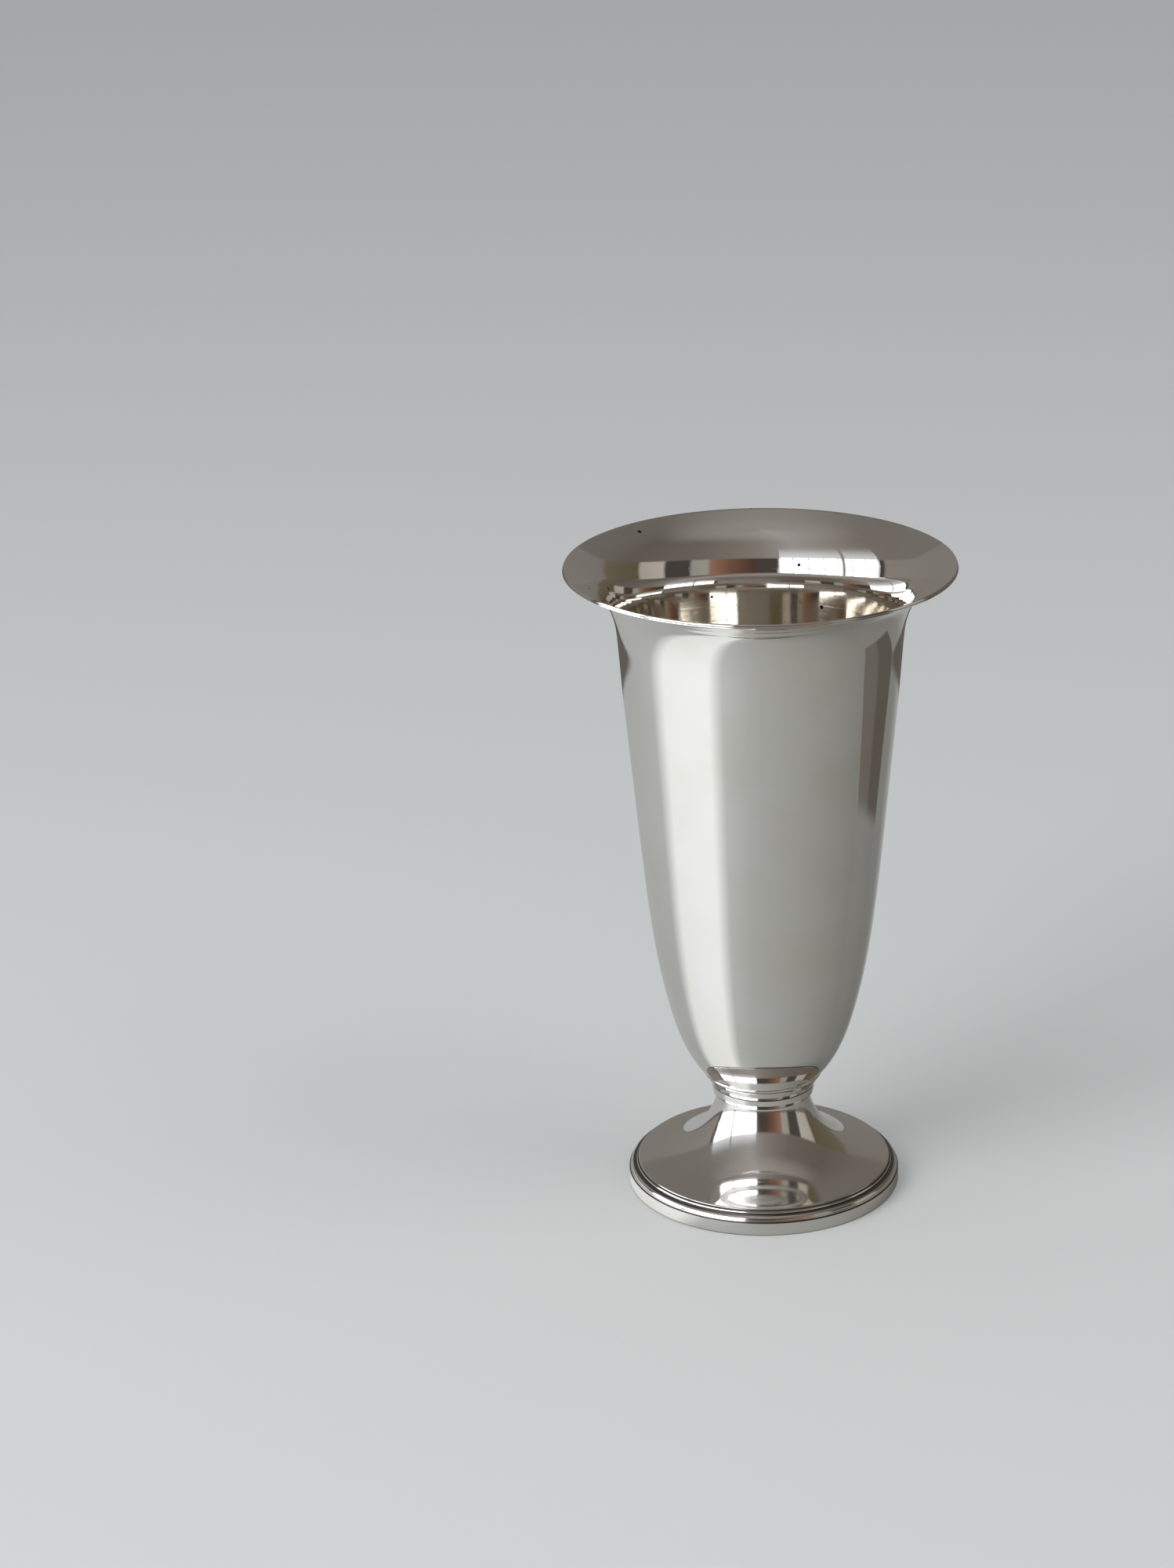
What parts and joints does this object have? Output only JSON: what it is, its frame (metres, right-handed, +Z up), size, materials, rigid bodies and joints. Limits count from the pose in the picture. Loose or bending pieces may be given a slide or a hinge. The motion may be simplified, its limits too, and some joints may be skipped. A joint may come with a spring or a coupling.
{
  "type": "trumpet vase",
  "caption": "Tall polished silver flower vase with a flared trumpet mouth, a ringed collar and a loaded round pedestal foot with a felt base.",
  "frame": {"origin": "centre of the face that the vase rests on", "axes": "+Z up along the vase's axis, towards the mouth; the vase is round, so +X and +Y are free"},
  "size_m": [0.1172, 0.1172, 0.2],
  "materials": {
    "silver": "mirror-polished silver with fine wear scratches",
    "brass_fastener": "turned, dull",
    "filling": "cast plaster, matt",
    "steel_plate": "plain sheet",
    "felt": "dark green felt"
  },
  "bodies": {
    "root": {"bowl_shell": "silver", "rim_wire": "silver", "collar": "silver", "upper_collar_ring": "silver", "lower_collar_ring": "silver", "foot_shell": "silver", "border_moulding": "silver", "foot_band": "silver", "bowl_stud": "brass_fastener", "stud_washer": "brass_fastener", "stud_nut": "brass_fastener", "foot_filler": "filling", "base_plate": "steel_plate", "felt_disc": "felt"}
  },
  "joints": []
}
